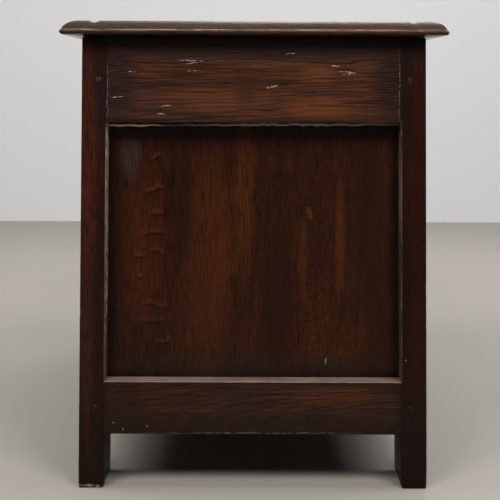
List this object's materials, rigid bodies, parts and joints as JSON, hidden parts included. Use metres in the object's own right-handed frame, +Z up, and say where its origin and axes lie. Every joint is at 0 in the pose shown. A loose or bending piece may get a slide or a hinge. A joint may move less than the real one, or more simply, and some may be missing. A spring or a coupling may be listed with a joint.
{
  "type": "mule chest",
  "caption": "Joined oak mule chest: a panelled box with a moulded, hinged lid over side-by-side drawers with drop handles, standing on its corner stiles.",
  "frame": {"origin": "middle of the footprint on the floor", "axes": "+X along the length, the front with the drawers faces -Y, +Z up"},
  "size_m": [1.2, 0.547, 0.6713],
  "materials": {
    "dark_oak": "waxed, dark stained oak",
    "plain_oak": "dry, unfinished oak",
    "brass": "aged brass",
    "iron": "wrought iron, dull"
  },
  "bodies": {
    "carcass": {"back_bottom_rail": "dark_oak", "back_muntin": "dark_oak", "back_panel_left": "dark_oak", "back_panel_right": "dark_oak", "back_top_rail": "dark_oak", "box_floor_boards": "plain_oak", "box_floor_ledges": "plain_oak", "drawer_guides": "plain_oak", "drawer_muntin": "dark_oak", "drawer_runners": "plain_oak", "end_bottom_rail_left": "dark_oak", "end_bottom_rail_right": "dark_oak", "end_panel_left": "dark_oak", "end_panel_right": "dark_oak", "end_top_rail_left": "dark_oak", "end_top_rail_right": "dark_oak", "frame_pegs": "dark_oak", "front_bottom_rail": "dark_oak", "front_middle_rail": "dark_oak", "front_muntin_left": "dark_oak", "front_muntin_right": "dark_oak", "front_panel_left": "dark_oak", "front_panel_middle": "dark_oak", "front_panel_right": "dark_oak", "front_top_rail": "dark_oak", "hinge_back_leaves": "iron", "hinge_leaf_nails": "iron", "hinge_pins": "iron", "lock_case": "iron", "lock_escutcheon": "iron", "stile_back_left": "dark_oak", "stile_back_right": "dark_oak", "stile_front_left": "dark_oak", "stile_front_right": "dark_oak", "till_bearers": "plain_oak", "till_bottom": "plain_oak", "till_front": "plain_oak"},
    "lid": {"hinge_strap_nails": "iron", "hinge_straps": "iron", "lid_back_board": "dark_oak", "lid_cleat_left": "dark_oak", "lid_cleat_right": "dark_oak", "lid_front_board": "dark_oak", "lid_pegs": "dark_oak", "lock_staple": "iron"},
    "lock_bolt": {"lock_bolt": "iron"},
    "drawer_left": {"drawer_left_back": "plain_oak", "drawer_left_bottom": "plain_oak", "drawer_left_front": "dark_oak", "drawer_left_handle_plates": "brass", "drawer_left_sides": "plain_oak"},
    "drawer_right": {"drawer_right_back": "plain_oak", "drawer_right_bottom": "plain_oak", "drawer_right_front": "dark_oak", "drawer_right_handle_plates": "brass", "drawer_right_sides": "plain_oak"},
    "bail_left_inner": {"drawer_left_bail_inner": "brass"},
    "bail_left_outer": {"drawer_left_bail_outer": "brass"},
    "bail_right_inner": {"drawer_right_bail_inner": "brass"},
    "bail_right_outer": {"drawer_right_bail_outer": "brass"}
  },
  "joints": [
    {"name": "lid_hinge", "type": "hinge", "parent": "carcass", "child": "lid", "pos_m": [0, 0.2558, 0.646], "axis": [-1, 0, 0], "range_deg": [0, 100]},
    {"name": "lock_bolt_slide", "type": "slide", "parent": "carcass", "child": "lock_bolt", "axis": [1, 0, 0], "range_m": [0, 0.012]},
    {"name": "drawer_left_slide", "type": "slide", "parent": "carcass", "child": "drawer_left", "axis": [0, -1, 0], "range_m": [0, 0.36]},
    {"name": "bail_left_inner_swing", "type": "hinge", "parent": "drawer_left", "child": "bail_left_inner", "pos_m": [-0.1445, -0.262, 0.234], "axis": [-1, 0, 0], "range_deg": [-10, 80]},
    {"name": "bail_left_outer_swing", "type": "hinge", "parent": "drawer_left", "child": "bail_left_outer", "pos_m": [-0.3705, -0.262, 0.234], "axis": [-1, 0, 0], "range_deg": [-10, 80]},
    {"name": "drawer_right_slide", "type": "slide", "parent": "carcass", "child": "drawer_right", "axis": [0, -1, 0], "range_m": [0, 0.36]},
    {"name": "bail_right_inner_swing", "type": "hinge", "parent": "drawer_right", "child": "bail_right_inner", "pos_m": [0.1445, -0.262, 0.234], "axis": [-1, 0, 0], "range_deg": [-10, 80]},
    {"name": "bail_right_outer_swing", "type": "hinge", "parent": "drawer_right", "child": "bail_right_outer", "pos_m": [0.3705, -0.262, 0.234], "axis": [-1, 0, 0], "range_deg": [-10, 80]}
  ]
}
